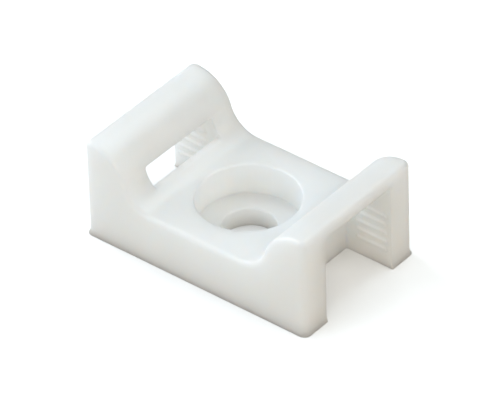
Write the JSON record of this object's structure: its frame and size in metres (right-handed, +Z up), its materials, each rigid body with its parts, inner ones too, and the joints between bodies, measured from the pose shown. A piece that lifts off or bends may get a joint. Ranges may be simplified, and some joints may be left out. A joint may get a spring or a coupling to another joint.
{
  "type": "cable tie mount",
  "caption": "Cradle cable tie mount moulded in one piece, with a sunk screw hole in a low saddle between raised slotted ends that a cable tie threads through.",
  "frame": {"origin": "middle of the flat underside, on the screw hole's axis", "axes": "+X along the length from one raised end to the other, +Y across the legs, +Z up out of the mouth of the screw's seat, away from the surface that the mount is screwed to"},
  "size_m": [0.022, 0.0136, 0.0089],
  "materials": {
    "natural_nylon": "satin milky white, slightly translucent"
  },
  "bodies": {
    "root": {"mount_body": "natural_nylon"}
  },
  "joints": []
}
